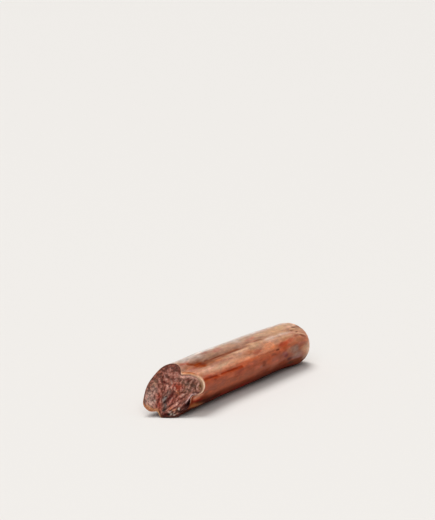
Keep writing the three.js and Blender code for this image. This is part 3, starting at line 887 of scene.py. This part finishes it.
def meat_colour(x, y, share):
    """Brown lean, its large areas, the marbling, the small marks and the rim, with painted shade in the
    hollow at the lower right and along the lower edge of the cut. The marbling multiplies by 1 plus 0.56
    times the hyperbolic tangent of noise, more at the coarse lower edge, and its highest parts turn
    waxy. `share` runs from 0 in the middle to 1 at the casing."""
    p = flat(x, y)
    fine = soft_noise(p, (1.1, 1.1, 1), 32)
    move_x = x + 0.6 * soft_noise(p, (2.2, 2.2, 1), 36) + 0.3 * fine
    move_y = y + 0.6 * soft_noise(p, (2.2, 2.2, 1), 37)
    colour = mark(linear(MEAT_TONES["base"]), move_x, move_y, MEAT_ZONES, 1)
    marbling = 0.62 * fibre_noise(x, y, 1.1, 2.1, 33) + 0.38 * fibre_noise(x, y, 0.7, 1.3, 34)
    marbling = marbling + 0.42 * soft_noise(p, (1.6, 1.6, 1), 35) + 0.25 * fine
    coarse = fleck(x, y, 5.5, -21.5, 4.5, 9, 0)
    colour = colour * (1 + (0.56 + 0.34 * coarse) * np.tanh(2.4 * marbling))[..., None]
    colour = stain(colour, (0.42 + 0.4 * coarse) * smooth(marbling, 0.22, 0.55), MEAT_TONES["wax"])
    uneven = 1 + 0.3 * fine
    colour = mark(colour, move_x, move_y, FAT_FLECKS, uneven)
    colour = mark(colour, move_x, move_y, LEAN_SPOTS, 1.1 * uneven)
    d, _ = near_path(x, y, WHITE_EDGE)
    colour = stain(colour, 0.9 * bump(d + 0.5 * fine, 0.65) * (1 + 0.4 * fine), MEAT_TONES["sinew"])
    angle, r = around(x, y)
    # painted shade: the hollow at the lower right is darkened, on top of its sunken form
    hollow = bump(wrap(angle + 32), 14) * smooth(r, 21.4, 23)
    colour = stain(colour, 0.9 * hollow, MEAT_TONES["hollow"])
    # painted shade: the lower edge of the cut, next to the casing, is darkened
    under = between(angle, -98, -88, -40, -28) * smooth(share, 0.9, 0.97)
    colour = stain(colour, 0.95 * under, MEAT_TONES["under"])
    bare = 1 - between(angle, 30, 45, 78, 90)
    return stain(colour, 0.3 * bare * smooth(share, 0.975, 0.998), MEAT_TONES["rim"])


face_tint = meat_colour(face_x, face_y, ring_share)
plug_tone = linear("#5A2C26")
plug_tint = np.broadcast_to(plug_tone, (len(plug_rows), COLUMNS, 3))
tints = np.concatenate([face_tint, plug_tint]).reshape(-1, 3)
paint(meat, "meat_tint", np.concatenate([tints, [face_tint[0, 0]], [plug_tone]]))
print("meat painted, mean colour", face_tint.mean(axis=(0, 1)).round(3))

# %% [markdown]
# ## Materials
#
# The casing is a thin protein skin, a little translucent, with an oily half gloss. The cut meat is
# moist, with glossy fat and matt lean. Both take their large areas from the painted vertices, and
# what is finer than the mesh from noise in Object coordinates.

# %% Helpers that add nodes


def add(tree, kind, settings=(), links=()):
    """A new shader node of a kind, with its properties or inputs set, and its inputs linked."""
    node = tree.nodes.new("ShaderNode" + kind)
    for key, value in dict(settings).items():
        if isinstance(key, str) and hasattr(node, key):
            setattr(node, key, value)
        else:
            node.inputs[key].default_value = value
    for key, source in dict(links).items():
        tree.links.new(source, node.inputs[key])
    return node


def new_material(name):
    """An empty node material, with its tree."""
    material = bpy.data.materials.new(name)
    material.use_nodes = True
    material.node_tree.nodes.clear()
    return material, material.node_tree


def painted(name, tint_name):
    """A new material with its tree, its painted colour and its Object coordinates."""
    material, tree = new_material(name)
    tint = add(tree, "Attribute", {"attribute_name": tint_name})
    where = add(tree, "TexCoord")
    return material, tree, tint.outputs["Color"], where.outputs["Object"]


def noise(tree, place, settings):
    """The grey value of a noise at a place."""
    return add(tree, "TexNoise", settings, {"Vector": place}).outputs["Fac"]


def remap(tree, source, low, high, start=0.3, end=0.7):
    """Low to high where the source goes from start to end. Most noise lies between 0.3 and 0.7."""
    return add(tree, "MapRange", {1: start, 2: end, 3: low, 4: high}, {0: source}).outputs[0]


def math_node(tree, operation, first, second):
    """Two values multiplied or added."""
    return add(tree, "Math", {"operation": operation}, {0: first, 1: second}).outputs[0]


def bump_node(tree, height, strength, distance, under=()):
    """A normal tipped by a height, over the normal of a coarser grain if there is one."""
    settings = {"Strength": strength, "Distance": distance}
    return add(tree, "Bump", settings, {"Height": height, **dict(under)}).outputs["Normal"]


def finish_material(tree, tint, scale, shader_settings, links):
    """Scale the painted colour, and join it with the rest in one Principled shader."""
    colour = add(tree, "VectorMath", {"operation": "SCALE"}, {0: tint, 3: scale})
    links = {"Base Color": colour.outputs[0], **links}
    shader = add(tree, "BsdfPrincipled", shader_settings, links)
    add(tree, "OutputMaterial", {}, {"Surface": shader.outputs[0]})


print("node helpers are ready")

# %% Dried natural casing
# Dried gut over cured meat. Its IOR is 1.45, near that of dried protein with fat in it, and its
# specular level is low, 0.15, with a warm tint, because the fat soaks in and the folds keep it dull.
# Roughness near 0.4 gives a soft, broad shine, the darkest folds are more matt, and a little
# subsurface softens the shadows. Its grain is 0.5 mm, too fine to show, so it is drawn wider.
casing_material, tree, tint, where = painted("dried_natural_casing", "skin_tint")
stretched = add(tree, "Mapping", {"Scale": (0.35, 1.0, 1.0)}, {"Vector": where}).outputs["Vector"]
blotch = noise(tree, stretched, {"Scale": 260.0, "Detail": 4.0, "Roughness": 0.6})
speck = noise(tree, where, {"Scale": 1100.0, "Detail": 3.0, "Roughness": 0.6})
shade = math_node(tree, "MULTIPLY", remap(tree, blotch, 0.80, 1.20), remap(tree, speck, 0.88, 1.12))
bright = add(tree, "RGBToBW", {}, {"Color": tint}).outputs[0]
matt = remap(tree, bright, 0.40, 0.0, 0.02, 0.12)
gloss = math_node(tree, "ADD", matt, remap(tree, blotch, 0.36, 0.52))
grain = bump_node(tree, blotch, 0.35, 0.0004)
fine_grain = bump_node(tree, speck, 0.25, 0.00015, {"Normal": grain})
finish_material(tree, tint, shade, {
    "IOR": 1.45, "Specular IOR Level": 0.15, "Specular Tint": (1.0, 0.66, 0.45, 1.0),
    "Subsurface Weight": 0.12, "Subsurface Scale": 0.002, "Subsurface Radius": (1.0, 0.35, 0.2),
}, {"Roughness": gloss, "Normal": fine_grain})
casing.data.materials.append(casing_material)
print("material", casing_material.name)

# %% Cut cured meat
# Salted, half dried lean with intramuscular fat, cut with a knife. Lean is matt and fat is waxy, so
# the gloss follows the marbling. It is moister than the casing, so its specular level is higher,
# 0.32. Fibres are 0.1 mm thick, too fine to show, so the marbling is drawn 0.7 mm wide.
meat_material, tree, tint, where = painted("cut_cured_meat", "meat_tint")
marble = noise(tree, where, {"Scale": 700.0, "Detail": 5.0, "Roughness": 0.65, "Distortion": 0.8})
speck = noise(tree, where, {"Scale": 2200.0, "Detail": 2.0})
grain = bump_node(tree, marble, 0.6, 0.0006)
fine_grain = bump_node(tree, speck, 0.3, 0.0002, {"Normal": grain})
finish_material(tree, tint, remap(tree, marble, 0.65, 1.40), {
    "IOR": 1.45, "Specular IOR Level": 0.32, "Specular Tint": (1.0, 0.82, 0.72, 1.0),
    "Subsurface Weight": 0.15, "Subsurface Scale": 0.0015, "Subsurface Radius": (1.0, 0.3, 0.2),
}, {"Roughness": remap(tree, marble, 0.62, 0.38), "Normal": fine_grain})
meat.data.materials.append(meat_material)
print("material", meat_material.name)

# %% [markdown]
# ## Tie the pieces to the frame
#
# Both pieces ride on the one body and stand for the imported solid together.

# %% Ride and replace
for piece in (casing, meat):
    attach(piece, "root")
    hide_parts("cured_loin")
print("pieces:", casing.name, meat.name)

# %% [markdown]
# ## Floor, light and camera
#
# The floor is plain and pale, in a dim white room with two distant soft boxes. One stands high, a
# little behind the loin, so the top shines and the shadow lies close under it. A weaker, wider one
# lights the meat from in front. The camera looks past the cut along the bar, from a little above.

# %% The floor
# It runs 40 m each way, so that no edge of it comes into the picture, and lies a hair below the loin.
FLOOR_HALF = 40.0
FLOOR_Z = -0.0004
corners = ((-1, -1), (1, -1), (1, 1), (-1, 1))
floor_mesh = bpy.data.meshes.new("floor")
floor_mesh.from_pydata([(x * FLOOR_HALF, y * FLOOR_HALF, FLOOR_Z) for x, y in corners], [], [(0, 1, 2, 3)])
floor = bpy.data.objects.new("floor", floor_mesh)
bpy.context.scene.collection.objects.link(floor)
floor_material, tree = new_material("pale_table")
shader = add(tree, "BsdfPrincipled",
             {"Base Color": (*linear("#E3E0DC"), 1.0), "Roughness": 0.8, "IOR": 1.3})
add(tree, "OutputMaterial", {}, {"Surface": shader.outputs[0]})
floor_mesh.materials.append(floor_material)
print("floor", 2 * FLOOR_HALF, "m wide")

# %% Lights
# A box's source is where its light comes from, its spread is how wide it looks in degrees, and a
# level of 1 lights a white card that faces it fully.
world = bpy.data.worlds.new("white_room")
bpy.context.scene.world = world
world.use_nodes = True
world.node_tree.nodes.clear()
sky = add(world.node_tree, "Background", {"Color": (1.0, 1.0, 1.0, 1.0), "Strength": 0.25})
add(world.node_tree, "OutputWorld", {}, {"Surface": sky.outputs[0]})


def soft_box(name, source, spread, level):
    """A distant lamp, tipped by its source's angle from the vertical and turned to its heading."""
    data = bpy.data.lights.new(name, "SUN")
    data.angle = math.radians(spread)
    data.energy = math.pi * level
    lamp = bpy.data.objects.new(name, data)
    x, y, z = np.array(source, float) / np.linalg.norm(source)
    lamp.rotation_euler = (math.acos(z), 0.0, math.atan2(x, -y))
    bpy.context.scene.collection.objects.link(lamp)
    return lamp


soft_box("top_box", (0.20, 0.28, 0.95), 34.0, 0.66)
soft_box("front_box", (-0.62, -0.30, 0.72), 50.0, 0.40)
print("two soft boxes and a dim white room")

# %% The camera
# Its place, turn and lens were solved from the photograph of 435 x 520 pixels.
FOCAL_PIXELS = 1682.47
PICTURE_HEIGHT = 520
SENSOR = 36.0
CAMERA_AT = (-1.5776, -0.9221, 0.4732)
LOOKS_DOWN = 10.193
HEADING = 30.9456
camera_data = bpy.data.cameras.new("camera")
camera_data.sensor_width = SENSOR
camera_data.lens = SENSOR * FOCAL_PIXELS / PICTURE_HEIGHT
camera_data.clip_end = 200.0
camera = bpy.data.objects.new("camera", camera_data)
camera.location = CAMERA_AT
camera.rotation_euler = (math.radians(90.0 - LOOKS_DOWN), 0.0, math.radians(HEADING - 90.0))
bpy.context.scene.collection.objects.link(camera)
bpy.context.scene.camera = camera
bpy.context.scene.view_settings.view_transform = "Standard"
print("camera lens", round(camera_data.lens, 2), "mm")
